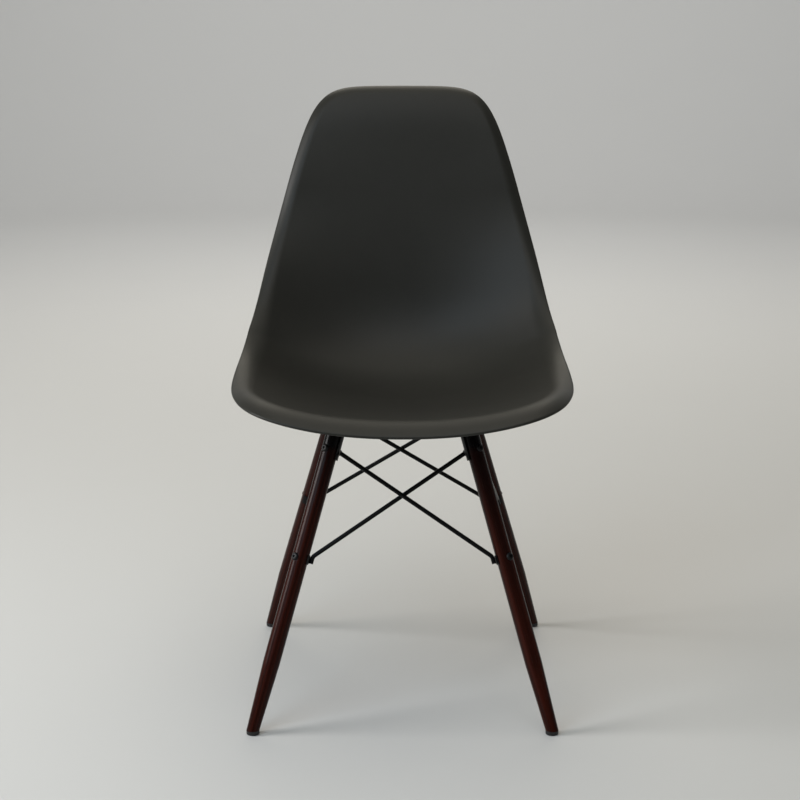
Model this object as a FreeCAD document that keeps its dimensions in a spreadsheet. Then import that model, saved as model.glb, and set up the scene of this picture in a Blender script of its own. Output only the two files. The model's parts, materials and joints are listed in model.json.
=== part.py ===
import FreeCAD, Part
import math
import os
import Sketcher

# A moulded plastic shell chair on four tapered wooden legs, tied by a base of steel rods and struts.
# Millimetres, +Z up. The floor is z = 0, the chair faces -Y, and the origin is on the floor
# below the middle of the chair. Left and right are as in a view from the front.

Vector = FreeCAD.Vector
Placement = FreeCAD.Placement
Rotation = FreeCAD.Rotation
X_AXIS = Vector(1, 0, 0)
Y_AXIS = Vector(0, 1, 0)
Z_AXIS = Vector(0, 0, 1)
TINY = 1e-9
NET_COLUMNS = 34
NET_ROWS = 56
BOSS_NET = 6

# Driving sizes: millimetres, angles in degrees. A "station" is a distance along the middle line
# of the shell, measured from the front lip over the seat and up the back.
SIZES = [
    ("shell_length", 816.4, "front lip to top of back, along the middle line"),
    ("shell_wall", 4.8, "thickness of the moulded shell"),
    ("lip_reach", 268.8, "start of the middle line in front of the origin"),
    ("seat_fall_angle", 8.0, "slope of the seat down to the rear"),
    ("seat_levelling_angle", 6.0, "how much of that slope is lost towards the rear"),
    ("levelling_start", 20.0, "station where that loss starts"),
    ("levelling_end", 319.0, "station where it ends"),
    ("hip_start", 259.0, "station where the seat starts to turn into the back"),
    ("hip_end", 520.8, "station where the back has its full slope"),
    ("back_slope_angle", 76.2, "slope of the lower back"),
    ("back_ease_angle", 1.4, "how much flatter the upper back leans"),
    ("ease_short", 40.0, "the back eases until this far below the top edge"),
    ("top_curl_angle", 23.1, "how far the top curls back"),
    ("curl_length", 90.0, "the curl starts this far below the top edge"),
    ("curl_beyond", 25.0, "the curl would be complete this far beyond it"),
    ("seat_width", 472.6, "width of the seat before its corners are rounded"),
    ("waist_in", 17.3, "narrowing of each side along the seat"),
    ("waist_start", 141.9, "station where that narrowing starts"),
    ("waist_end", 449.7, "station where that narrowing ends"),
    ("back_in", 78.3, "narrowing of each side up the back"),
    ("taper_start", 379.6, "station where the back's narrowing starts"),
    ("taper_end", 873.2, "station where the back's narrowing would end"),
    ("front_corner_power", 5.27, "power of the curve round the front corners, 2 is a circle"),
    ("top_corner_power", 6.1, "power of the curve round the top corners"),
    ("side_rise", 43.0, "rise of the seat's sides above its middle"),
    ("side_power", 2.22, "power of the rise across the shell"),
    ("hip_rise", 34.5, "further rise at the hips"),
    ("rise_start", 131.4, "station where that further rise starts"),
    ("rise_end", 371.2, "station where it is complete"),
    ("back_flattening", 71.7, "loss of the rise up the lower back"),
    ("flattening_start", 394.2, "station where that loss starts"),
    ("flattening_middle", 649.7, "station where the upper back's loss starts"),
    ("flattening_end", 850.0, "station where that would end"),
    ("top_flattening", 13.2, "loss of the rise up the upper back"),
    ("lip_roll", 21.0, "how far the front lip rolls down"),
    ("rim_roll", 11.1, "how far the rim of the sides and the back rolls outwards"),
    ("lip_rim", 39.7, "width of the rolled rim at the front lip"),
    ("seat_rim", 32.0, "width of the rolled rim at the seat's sides"),
    ("back_rim", 20.0, "width of the rolled rim round the back"),
    ("lip_start", 20.0, "station where the lip's rim starts to turn into the side's"),
    ("lip_end", 190.0, "station where it has become the side's"),
    ("narrowing_start", 350.0, "station where the rim starts to narrow"),
    ("narrowing_end", 600.0, "station where it has the back's width"),
    ("boss_height", 16.0, "lowest line of the seat's top above the bosses' bottoms"),
    ("boss_dia", 25.0, "bosses moulded under the seat"),
    ("mount_inset", 33.8, "seat screws short of the rod's end, along the rod"),
    ("mount_offset", 15.0, "seat screws beside the rod"),
    ("foot_spread_x", 402.0, "left to right foot, middle to middle"),
    ("foot_spread_y", 462.0, "front to rear foot, middle to middle"),
    ("base_setback", 0.8, "middle of the base behind the origin"),
    ("leg_lean_angle", 23.5, "lean of each leg towards the middle"),
    ("leg_length", 428.0, "wooden leg along its middle line"),
    ("leg_dia", 23.0, "leg above its taper"),
    ("foot_dia", 17.0, "leg at its foot"),
    ("taper_length", 92.0, "tapered foot end of the leg"),
    ("leg_top_round", 2.0, "rounding of the leg's top edge"),
    ("glide_thick", 6.0, "plastic glide under the foot"),
    ("glide_dia", 17.6, "width of the glide"),
    ("glide_round", 2.2, "rounding of its lower edge"),
    ("nail_dia", 2.6, "nail through the glide"),
    ("nail_length", 20.0, "nail with its head"),
    ("nail_head_dia", 6.4, "head of the nail"),
    ("nail_head_thick", 1.2, "thickness of that head"),
    ("nail_recess", 0.8, "depth of the head above the floor"),
    ("upper_bolt_down", 36.5, "upper bolt below the leg's top, along the leg"),
    ("lower_bolt_down", 189.0, "lower bolt below the leg's top, along the leg"),
    ("bolt_dia", 6.0, "leg bolts and seat screws"),
    ("hole_clearance", 0.4, "play of a bolt, screw or nail in its hole, across"),
    ("head_dia", 10.5, "button heads"),
    ("head_height", 3.3, "height of a button head"),
    ("head_round", 2.4, "rounding of a button head"),
    ("socket_across", 4.0, "hexagon socket, across its flats"),
    ("socket_depth", 2.0, "depth of the hexagon socket"),
    ("spot_face", 1.3, "depth of the flat that a bolt head sits on"),
    ("nut_across", 10.0, "nuts, across their flats"),
    ("nut_thick", 5.0, "thickness of a nut"),
    ("bolt_tail", 1.2, "bolt beyond its nut"),
    ("bracket_wall", 2.5, "sheet steel of the top brackets"),
    ("saddle_wall", 1.2, "sheet steel of the lower saddles"),
    ("bracket_fit", 0.15, "gap between the leg and its bracket or saddle"),
    ("bracket_below", 12.0, "top bracket below the upper bolt"),
    ("bracket_top_gap", 2.0, "top bracket below the leg's top"),
    ("saddle_length", 13.0, "lower saddle along the leg"),
    ("strut_dia", 6.0, "cross struts"),
    ("strut_gap", 0.1, "gap between two struts where they cross"),
    ("strut_bend_radius", 9.0, "radius of a strut's bend at its lower end"),
    ("strut_tail", 10.0, "bent end that lies along the leg"),
    ("strut_top_drop", 1.4, "upper strut ends below the upper bolt"),
    ("strut_foot_rise", 6.0, "lower strut bends above the lower bolt"),
    ("strut_butt", 0.9, "slanted strut end off the bracket it is welded to"),
    ("rod_dia", 10.0, "rods under the seat"),
    ("rod_down", 15.5, "middle line of the rods below the middle of the legs' tops"),
    ("rod_gap", 0.1, "gap between the rods where they cross"),
    ("dip_inner", 18.0, "flat half of the lower rod's dip"),
    ("dip_outer", 52.0, "where that dip starts, from the middle"),
    ("rod_bend_radius", 24.0, "radius of the bends in the lower rod"),
    ("tab_thick", 3.0, "mounting tabs"),
    ("tab_width", 28.0, "mounting tab along the rod"),
    ("tab_margin", 13.0, "mounting tab beyond its screw hole"),
    ("tab_corner", 6.0, "rounded corners of a tab"),
    ("pad_thick", 5.0, "rubber pad between tab and boss"),
    ("pad_dia", 25.0, "width of the rubber pad"),
    ("pad_round", 0.8, "rounding of its edges"),
    ("washer_dia", 12.0, "washers of the seat screws"),
    ("washer_thick", 1.5, "thickness of a washer"),
    ("insert_dia", 9.0, "threaded inserts in the bosses"),
    ("insert_length", 12.0, "length of an insert"),
    ("insert_fit", 0.1, "gap round an insert, on the radius"),
    ("thread_play", 0.2, "play of a thread in its nut or insert, across"),
    ("boss_floor", 1.0, "depth of the boss hole beyond its insert"),
    ("screw_grip", 9.0, "length of a seat screw in its insert"),
]

doc = FreeCAD.newDocument("ShellChair")
sheet = doc.addObject("Spreadsheet::Sheet", "Sizes")
for row, (alias, number, meaning) in enumerate(SIZES, start=1):
    sheet.set(f"A{row}", alias)
    sheet.set(f"B{row}", str(number))
    sheet.set(f"C{row}", meaning)
    sheet.setAlias(f"B{row}", alias)
doc.recompute()


class Size:
    """A size that knows its value and the sheet expression that gives it."""

    def __init__(self, value, text):
        self.value = value
        self.text = text

    def __add__(self, other):
        other = as_size(other)
        return Size(self.value + other.value, f"({self.text} + {other.text})")

    def __sub__(self, other):
        other = as_size(other)
        return Size(self.value - other.value, f"({self.text} - {other.text})")

    def __mul__(self, other):
        other = as_size(other)
        return Size(self.value * other.value, f"({self.text} * {other.text})")

    def __truediv__(self, other):
        other = as_size(other)
        return Size(self.value / other.value, f"({self.text} / {other.text})")

    def __neg__(self):
        return Size(-self.value, f"(-1 * {self.text})")


def as_size(thing):
    return thing if isinstance(thing, Size) else Size(float(thing), str(float(thing)))


def cosine(turn):
    """The cosine of a size in degrees."""
    return Size(math.cos(math.radians(turn.value)), f"cos({turn.text} * 1 deg)")


class Sheet:
    """Reads the sheet's cells by their aliases."""

    def __getattr__(self, alias):
        return Size(float(sheet.get(alias)), f"Sizes.{alias}")


size = Sheet()
NODES = []


def bind(thing, field, amount):
    """Ties one property of an object to the sheet."""
    thing.setExpression(field, amount.text)


def keep(thing, name):
    """Names a finished sub-part, so that it gets a file of its own."""
    thing.Label = name
    NODES.append(thing)
    return thing


# Sketch and body helpers

def new_body(name):
    body = doc.addObject("PartDesign::Body", name)
    body.Label = name
    return body


def new_sketch(body, name, role, height=None, turn=0.0):
    """A sketch on one of the body's origin planes, moved along its normal and turned in it."""
    plane = next(part for part in body.Origin.OriginFeatures if part.Role == role)
    sketch = body.newObject("Sketcher::SketchObject", name)
    sketch.AttachmentSupport = (plane, [""])
    sketch.MapMode = "FlatFace"
    lift = height.value if height else 0.0
    sketch.AttachmentOffset = Placement(Vector(0, 0, lift), Rotation(Z_AXIS, turn))
    if height:
        bind(sketch, "AttachmentOffset.Base.z", height)
    return sketch


def tie(sketch, kind, where, amount):
    """A dimension of the sketch, bound to the sheet."""
    amount = as_size(amount)
    number = sketch.addConstraint(Sketcher.Constraint(kind, *where, amount.value))
    sketch.setExpression(f"Constraints[{number}]", amount.text)


def outline(sketch, corners):
    """A closed outline with straight sides, each corner placed by two dimensions."""
    corners = [(as_size(x), as_size(y)) for x, y in corners]
    first = sketch.GeometryCount
    count = len(corners)
    for index, (x, y) in enumerate(corners):
        next_x, next_y = corners[(index + 1) % count]
        start = Vector(x.value, y.value, 0)
        end = Vector(next_x.value, next_y.value, 0)
        sketch.addGeometry(Part.LineSegment(start, end), False)
    for index, (x, y) in enumerate(corners):
        following = first + (index + 1) % count
        sketch.addConstraint(Sketcher.Constraint("Coincident", first + index, 2, following, 1))
        tie(sketch, "DistanceX", (-1, 1, first + index, 1), x)
        tie(sketch, "DistanceY", (-1, 1, first + index, 1), y)


def ring(sketch, diameter, x=0.0, y=0.0):
    """A circle of the given diameter."""
    x, y = as_size(x), as_size(y)
    centre = Vector(x.value, y.value, 0)
    number = sketch.addGeometry(Part.Circle(centre, Z_AXIS, diameter.value / 2), False)
    tie(sketch, "DistanceX", (-1, 1, number, 3), x)
    tie(sketch, "DistanceY", (-1, 1, number, 3), y)
    tie(sketch, "Diameter", (number,), diameter)


def hexagon(sketch, across):
    """A regular hexagon round the sketch's origin, flats square to its first axis."""
    reach = across / 2
    half_side = across / (2 * math.sqrt(3))
    outline(sketch, [(reach, half_side), (as_size(0), half_side * 2), (-reach, half_side),
                     (-reach, -half_side), (as_size(0), -(half_side * 2)), (reach, -half_side)])


def feature(body, kind, name, sketch, **settings):
    """A sketch-based feature with its settings, bound where they are sizes."""
    made = body.newObject(f"PartDesign::{kind}", name)
    made.Profile = sketch
    for field, setting in settings.items():
        if isinstance(setting, Size):
            setattr(made, field, setting.value)
            bind(made, field, setting)
        else:
            setattr(made, field, setting)
    doc.recompute()
    return made


def turned(body, name, corners, kind="Revolution", turn=0.0):
    """A turned shape or groove: an outline of radius and height, spun round the vertical axis."""
    sketch = new_sketch(body, name + "_outline", "XZ_Plane", turn=turn)
    outline(sketch, corners)
    return feature(body, kind, name, sketch, ReferenceAxis=(sketch, ["V_Axis"]))


def rounded(body, name, base, radius, wanted):
    """Rounds those edges of the body that pass the test."""
    chosen = [f"Edge{index}" for index, edge in enumerate(base.Shape.Edges, start=1) if wanted(edge)]
    made = body.newObject("PartDesign::Fillet", name)
    made.Base = (base, chosen)
    made.Radius = radius.value
    bind(made, "Radius", radius)
    doc.recompute()
    return made


def circle_at(height, radius):
    """Tests for a whole circle of the given radius that lies flat at the given height."""
    def wanted(edge):
        curve = edge.Curve
        if not isinstance(curve, Part.Circle) or not edge.isClosed():
            return False
        return abs(curve.Center.z - height.value) < 0.01 and abs(curve.Radius - radius.value) < 0.01
    return wanted


def rounded_path(points, radius):
    """Straight runs through the points, joined by tangent arcs of one radius."""
    pieces = []
    start = points[0]
    for before, corner, after in zip(points, points[1:], points[2:]):
        back = (before - corner).normalize()
        ahead = (after - corner).normalize()
        half_turn = (math.pi - back.getAngle(ahead)) / 2
        inset = radius * math.tan(half_turn)
        arc_start = corner + back * inset
        arc_end = corner + ahead * inset
        inward = (back + ahead).normalize()
        arc_middle = corner + inward * (radius / math.cos(half_turn) - radius)
        pieces.append(Part.LineSegment(start, arc_start))
        pieces.append(Part.Arc(arc_start, arc_middle, arc_end))
        start = arc_end
    pieces.append(Part.LineSegment(start, points[-1]))
    return pieces


def bent_rod(body, points, radius, diameter):
    """A round rod along a path in the body's XZ plane that starts along X."""
    path = new_sketch(body, body.Name + "_path", "XZ_Plane")
    for piece in rounded_path(points, radius):
        number = path.addGeometry(piece, False)
        path.addConstraint(Sketcher.Constraint("Block", number))
    profile = new_sketch(body, body.Name + "_section", "YZ_Plane", as_size(points[0].x))
    ring(profile, diameter, 0.0, points[0].y)
    pipe = body.newObject("PartDesign::AdditivePipe", body.Name + "_pipe")
    pipe.Profile = profile
    pipe.Spine = (path, [f"Edge{index + 1}" for index in range(path.GeometryCount)])
    doc.recompute()
    return pipe


def cylinder(name, diameter, height, place):
    made = doc.addObject("Part::Cylinder", name)
    bind(made, "Radius", diameter / 2)
    bind(made, "Height", height)
    made.Placement = place
    return made


def cut(name, base, tool):
    made = doc.addObject("Part::Cut", name)
    made.Base = base
    made.Tool = tool
    return made


def group(name, members):
    """Identical pieces as separate solids in one node."""
    made = doc.addObject("Part::Compound", name)
    made.Links = members
    return keep(made, name)


# The shell's form: laws along its middle line

def smooth_step(share):
    """Rises from 0 to 1 and is level at both ends."""
    share = min(max(share, 0.0), 1.0)
    return share * share * (3 - 2 * share)


def graded(station, start, changes):
    """A start value and its changes, each spread smoothly from one station to another."""
    value = start
    for begin, end, change in changes:
        value += change * smooth_step((station - begin) / (end - begin))
    return value


class ShellForm:
    """The top surface of the shell as a smooth function of two numbers from -1 to 1."""

    STEP = 1.0
    NUDGE = 1e-3
    CORNER_SHARE = 0.48

    def __init__(self):
        self.length = size.shell_length.value
        self.wall = size.shell_wall.value
        turn_up = size.back_slope_angle + size.seat_fall_angle - size.seat_levelling_angle
        self.heading_laws = self.laws([
            (size.levelling_start, size.levelling_end, size.seat_levelling_angle),
            (size.hip_start, size.hip_end, turn_up),
            (size.hip_end, size.shell_length - size.ease_short, -size.back_ease_angle),
            (size.shell_length - size.curl_length, size.shell_length + size.curl_beyond,
             -size.top_curl_angle),
        ])
        self.width_laws = self.laws([
            (size.waist_start, size.waist_end, -size.waist_in),
            (size.taper_start, size.taper_end, -size.back_in),
        ])
        self.rise_laws = self.laws([
            (size.rise_start, size.rise_end, size.hip_rise),
            (size.flattening_start, size.flattening_middle, -size.back_flattening),
            (size.flattening_middle, size.flattening_end, -size.top_flattening),
        ])
        self.roll_laws = self.laws([
            (size.lip_start, size.lip_end, size.rim_roll - size.lip_roll),
        ])
        self.rim_laws = self.laws([
            (size.lip_start, size.lip_end, size.seat_rim - size.lip_rim),
            (size.narrowing_start, size.narrowing_end, size.back_rim - size.seat_rim),
        ])
        self.trace_middle_line()

    def laws(self, changes):
        """The plain numbers of a list of changes: from one station, to another, by how much."""
        return [tuple(amount.value for amount in change) for change in changes]

    def heading(self, station):
        """Slope of the middle line in radians: level to the rear is 0, straight up is a right angle."""
        return math.radians(graded(station, -size.seat_fall_angle.value, self.heading_laws))

    def trace_middle_line(self):
        """Adds up the middle line from its slope, in short steps, and sets it to its place."""
        y, z = 0.0, 0.0
        line = [(y, z)]
        for index in range(int(self.length / self.STEP) + 2):
            slope = self.heading((index + 0.5) * self.STEP)
            y += self.STEP * math.cos(slope)
            z += self.STEP * math.sin(slope)
            line.append((y, z))
        lift = SEAT_LOW.value - min(height for place, height in line)
        self.line = [(place - size.lip_reach.value, height + lift) for place, height in line]

    def middle(self, station):
        """A point of the middle line."""
        place = min(max(station / self.STEP, 0.0), len(self.line) - 1 - TINY)
        index = int(place)
        share = place - index
        (y0, z0), (y1, z1) = self.line[index], self.line[index + 1]
        return y0 + share * (y1 - y0), z0 + share * (z1 - z0)

    def station_at(self, y):
        """The station where the seat's middle line reaches a place from front to rear."""
        for index, point in enumerate(self.line):
            if point[0] >= y:
                return index * self.STEP
        raise ValueError("The seat does not reach that far")

    def power(self, along):
        return size.front_corner_power.value if along < 0 else size.top_corner_power.value

    def half_width(self, station):
        return graded(station, size.seat_width.value / 2, self.width_laws)

    def point(self, across, along):
        """Top surface: across and along are 0 in the middle, and the outline is where the
        rounded size of the two reaches 1."""
        station = self.length * (along + 1) / 2
        y, z = self.middle(station)
        width = self.half_width(station)
        power = self.power(along)
        level = (abs(across) ** power + abs(along) ** power + TINY) ** (1 / power)
        slope_across = (abs(across) / level) ** (power - 1) / width
        slope_along = (abs(along) / level) ** (power - 1) / (self.length / 2)
        to_edge = (1 - level) / (math.hypot(slope_across, slope_along) + TINY)
        rise = graded(station, size.side_rise.value, self.rise_laws)
        roll = graded(station, size.lip_roll.value, self.roll_laws)
        rim = graded(station, size.lip_rim.value, self.rim_laws)
        lift = rise * abs(across) ** size.side_power.value
        lift -= roll * max(1 - to_edge / rim, 0.0) ** 2
        lean = self.heading(station)
        return Vector(width * across, y - lift * math.sin(lean), z + lift * math.cos(lean))

    def below(self, across, along, depth):
        """A point at a depth below the top surface, square to it."""
        run = self.point(across + self.NUDGE, along) - self.point(across - self.NUDGE, along)
        climb = self.point(across, along + self.NUDGE) - self.point(across, along - self.NUDGE)
        upward = run.cross(climb).normalize()
        return self.point(across, along) - upward * depth

    def spread(self, across, along):
        """Carries a square of -1 to 1 to the rounded outline. A corner share of a half would
        make the corners of the square run into a smooth edge, where its sides turn parallel."""
        front, top = size.front_corner_power.value, size.top_corner_power.value
        front_corner = self.CORNER_SHARE ** (1 / front)
        top_corner = self.CORNER_SHARE ** (1 / top)
        up = (1 + along) / 2
        side = -front_corner + (front_corner + top_corner) * up
        power = self.power(side)
        reach = (1 - abs(side) ** power) ** (1 / power)
        front_edge = (1 - abs(front_corner * across) ** front) ** (1 / front)
        top_edge = (1 - abs(top_corner * across) ** top) ** (1 / top)
        return across * reach, up * top_edge - (1 - up) * front_edge


def shell_surface(form, depth):
    """A smooth surface through a net of points that is finer towards the rim."""
    net = []
    for row in range(NET_ROWS + 1):
        share = 2 * row / NET_ROWS - 1
        along = (share + math.sin(share * math.pi / 2)) / 2
        line = []
        for column in range(NET_COLUMNS + 1):
            across = math.sin((2 * column / NET_COLUMNS - 1) * math.pi / 2)
            line.append(form.below(*form.spread(across, along), depth))
        net.append(line)
    surface = Part.BSplineSurface()
    surface.interpolate(net)
    return surface


def closed_between(upper, under):
    """A solid between two surfaces of like outline, closed by a ruled wall along each side."""
    top_face, under_face = upper.toShape(), under.toShape()
    walls = [Part.makeRuledSurface(top_edge, under_edge)
             for top_edge, under_edge in zip(top_face.Edges, under_face.Edges)]
    skin = Part.makeShell([top_face, under_face] + walls)
    skin.sewShape()
    solid = Part.makeSolid(Part.Shell(skin.Faces))
    if solid.Volume < 0:
        solid.reverse()
    return solid


def boss_under_seat(form, x, y, bottom):
    """A round boss from its flat bottom up into the middle of the shell's wall."""
    reach = size.boss_dia.value
    offsets = [reach * (2 * step / BOSS_NET - 1) for step in range(BOSS_NET + 1)]
    station = form.station_at(y)
    width = form.half_width(station)
    net = []
    for behind in offsets:
        along = 2 * (station + behind) / form.length - 1
        net.append([form.below((x + beside) / width, along, form.wall / 2) for beside in offsets])
    patch = Part.BSplineSurface()
    patch.interpolate(net)
    under = patch.toShape().extrude(Vector(0, 0, -2 * reach))
    boss = Part.makeCylinder(reach / 2, 2 * reach, Vector(x, y, bottom))
    return boss.common(under)


# Places that several sub-parts share

LEAN = math.radians(size.leg_lean_angle.value)
HALF_X = size.foot_spread_x.value / 2
HALF_Y = size.foot_spread_y.value / 2
FOOT_RADIUS = math.hypot(HALF_X, HALF_Y)
SPLAY = math.atan2(HALF_Y, HALF_X)
BASE_MIDDLE = Vector(0, size.base_setback.value, 0)
BRACKET_INNER = size.leg_dia / 2 + size.bracket_fit
BRACKET_OUTER = BRACKET_INNER + size.bracket_wall
SADDLE_OUTER = BRACKET_INNER + size.saddle_wall
UPPER_BOLT_AT = size.leg_length - size.upper_bolt_down
LOWER_BOLT_AT = size.leg_length - size.lower_bolt_down
ROD_HEIGHT = size.glide_thick + size.leg_length * cosine(size.leg_lean_angle) - size.rod_down
TAB_TOP = ROD_HEIGHT + size.rod_dia / 2 + size.tab_thick
BOSS_BOTTOM = TAB_TOP + size.pad_thick
SEAT_LOW = BOSS_BOTTOM + size.boss_height
CORNERS = {
    "front_left": (-1, -1),
    "front_right": (1, -1),
    "rear_left": (-1, 1),
    "rear_right": (1, 1),
}


def corner_angle(corner):
    """Direction of a leg from the middle of the base, in degrees."""
    across, back = CORNERS[corner]
    return math.degrees(math.atan2(back * math.sin(SPLAY), across * math.cos(SPLAY)))


def leg_frame(corner):
    """Z runs up the leg from the top of its glide, and X points outwards, square to the leg."""
    turn = Rotation(Z_AXIS, corner_angle(corner))
    foot = turn.multVec(Vector(FOOT_RADIUS, 0, size.glide_thick.value))
    return Placement(BASE_MIDDLE + foot, turn * Rotation(Y_AXIS, -size.leg_lean_angle.value))


def foot_frame(corner):
    """Upright at the middle of the glide, on the floor, X pointing outwards."""
    turn = Rotation(Z_AXIS, corner_angle(corner))
    return Placement(BASE_MIDDLE + turn.multVec(Vector(FOOT_RADIUS, 0, 0)), turn)


def rod_half_length():
    """From the middle of a rod to where its middle line meets the slope of a top bracket."""
    back = BRACKET_OUTER.value
    along = (ROD_HEIGHT.value - size.glide_thick.value + back * math.sin(LEAN)) / math.cos(LEAN)
    return FOOT_RADIUS - along * math.sin(LEAN) - back * math.cos(LEAN)


def screw_side(corner):
    """The side of its rod that a seat screw is on: -1 or 1."""
    across, back = CORNERS[corner]
    return -across * back


def rod_place(corner, beside=0.0):
    """A place on the rod abreast of a seat screw, or at a distance to its side."""
    radius = rod_half_length() - size.mount_inset.value
    turn = Rotation(Z_AXIS, corner_angle(corner))
    return BASE_MIDDLE + turn.multVec(Vector(radius, beside, 0))


def screw_place(corner):
    """Where a seat screw stands."""
    return rod_place(corner, screw_side(corner) * size.mount_offset.value)


def upright(corner, height):
    """A frame at a seat screw, at the given height."""
    return Placement(screw_place(corner) + Vector(0, 0, height.value), Rotation())


def across_leg(corner, along, outward):
    """A frame on the leg whose Z points outwards, square to the leg."""
    local = Placement(Vector(outward.value, 0, along.value), Rotation(Y_AXIS, 90))
    return leg_frame(corner) * local


# Shell

def make_shell():
    form = ShellForm()
    solid = closed_between(shell_surface(form, 0.0), shell_surface(form, form.wall))
    for corner in CORNERS:
        place = screw_place(corner)
        solid = solid.fuse(boss_under_seat(form, place.x, place.y, BOSS_BOTTOM.value))
    hole_depth = size.insert_length.value + size.boss_floor.value
    hole_radius = size.insert_dia.value / 2 + size.insert_fit.value
    for corner in CORNERS:
        foot = screw_place(corner) + Vector(0, 0, BOSS_BOTTOM.value)
        solid = solid.cut(Part.makeCylinder(hole_radius, hole_depth, foot))
    shell = doc.addObject("Part::Feature", "seat_shell")
    shell.Shape = solid.Solids[0] if len(solid.Solids) == 1 else solid
    keep(shell, "seat_shell")


# Seat mounting

def make_inserts():
    inserts = []
    for corner in CORNERS:
        place = upright(corner, BOSS_BOTTOM)
        body = cylinder("insert_body_" + corner, size.insert_dia, size.insert_length, place)
        bore = cylinder("insert_bore_" + corner, size.bolt_dia + size.thread_play,
                        size.insert_length, place)
        inserts.append(cut("insert_" + corner, body, bore))
    group("threaded_inserts", inserts)


def make_pad(corner):
    body = new_body("spacer_pad_" + corner)
    sketch = new_sketch(body, "pad_ring_" + corner, "XY_Plane")
    ring(sketch, size.pad_dia)
    ring(sketch, size.bolt_dia + size.hole_clearance)
    pad = feature(body, "Pad", "pad_" + corner, sketch, Length=size.pad_thick)
    outer = size.pad_dia / 2

    def rims(edge):
        return circle_at(as_size(0), outer)(edge) or circle_at(size.pad_thick, outer)(edge)

    rounded(body, "pad_rims_" + corner, pad, size.pad_round, rims)
    body.Placement = upright(corner, TAB_TOP)
    keep(body, "spacer_pad_" + corner)


def button_screw(name, shank):
    """A screw with a rounded head and a hexagon socket: the head is below z = 0, the shank above."""
    body = new_body(name)
    head, thread = size.head_dia / 2, size.bolt_dia / 2
    turned(body, name + "_turned", [(0, -size.head_height), (head, -size.head_height), (head, 0),
                                    (thread, 0), (thread, shank), (0, shank)])
    base = body.Tip
    rounded(body, name + "_dome", base, size.head_round, circle_at(-size.head_height, head))
    socket = new_sketch(body, name + "_socket_outline", "XY_Plane", -size.head_height)
    hexagon(socket, size.socket_across)
    before = body.Tip.Shape.Volume
    feature(body, "Pocket", name + "_socket", socket, Length=size.socket_depth, Reversed=True)
    if body.Tip.Shape.Volume >= before:
        raise RuntimeError(name + ": the socket cuts nothing")
    return body


def make_seat_screws():
    seat = ROD_HEIGHT + size.rod_dia / 2
    washer_bottom = seat - size.washer_thick
    shank = BOSS_BOTTOM - washer_bottom + size.screw_grip
    screws, washers = [], []
    for corner in CORNERS:
        screw = button_screw("seat_screw_" + corner, shank)
        screw.Placement = upright(corner, washer_bottom)
        screws.append(screw)
        place = upright(corner, washer_bottom)
        disc = cylinder("washer_disc_" + corner, size.washer_dia, size.washer_thick, place)
        bore = cylinder("washer_bore_" + corner, size.bolt_dia + size.hole_clearance,
                        size.washer_thick, place)
        washers.append(cut("washer_" + corner, disc, bore))
    group("seat_screws", screws)
    group("seat_washers", washers)


def make_tab(corner):
    """A flat tab on top of the rod, with its screw hole beside the rod."""
    side = screw_side(corner)
    body = new_body("mount_tab_" + corner)
    sketch = new_sketch(body, "tab_outline_" + corner, "XY_Plane")
    half = size.tab_width / 2
    near = -(size.rod_dia / 2) * side
    far = (size.mount_offset + size.tab_margin) * side
    outline(sketch, [(-half, near), (half, near), (half, far), (-half, far)])
    ring(sketch, size.bolt_dia + size.hole_clearance, 0, size.mount_offset * side)
    plate = feature(body, "Pad", "tab_plate_" + corner, sketch, Length=size.tab_thick)

    def upright_edge(edge):
        return isinstance(edge.Curve, Part.Line) and abs(edge.tangentAt(edge.FirstParameter).z) > 0.99

    rounded(body, "tab_corners_" + corner, plate, size.tab_corner, upright_edge)
    bottom = Vector(0, 0, TAB_TOP.value - size.tab_thick.value)
    body.Placement = Placement(rod_place(corner) + bottom, Rotation(Z_AXIS, corner_angle(corner)))
    keep(body, "mount_tab_" + corner)


def make_rod(name, corner, dips):
    """A rod from one top bracket to the one across the base, its ends cut to the brackets' slope."""
    half = rod_half_length()
    spare = size.rod_dia.value
    points = [Vector(-half - spare, 0, 0), Vector(half + spare, 0, 0)]
    if dips:
        dip = -(size.rod_dia.value + size.rod_gap.value)
        inner, outer = size.dip_inner.value, size.dip_outer.value
        points[1:1] = [Vector(-outer, 0, 0), Vector(-inner, dip, 0),
                       Vector(inner, dip, 0), Vector(outer, 0, 0)]
    body = new_body(name)
    bent_rod(body, points, size.rod_bend_radius.value, size.rod_dia)
    before = body.Tip.Shape.Volume
    for end, label in ((-1, "near"), (1, "far")):
        sketch = new_sketch(body, f"{name}_{label}_slope", "XZ_Plane")
        shift = spare * math.tan(LEAN)
        outline(sketch, [(end * (half + shift), -spare), (end * (half + 3 * spare), -spare),
                         (end * (half + 3 * spare), spare), (end * (half - shift), spare)])
        feature(body, "Pocket", f"{name}_{label}_end", sketch, Length=4 * spare,
                SideType="Symmetric")
    if body.Tip.Shape.Volume >= before:
        raise RuntimeError(name + ": the slanted ends cut nothing")
    body.Placement = Placement(BASE_MIDDLE + Vector(0, 0, ROD_HEIGHT.value),
                               Rotation(Z_AXIS, corner_angle(corner)))
    keep(body, name)


# Legs and what is bolted to them

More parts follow.
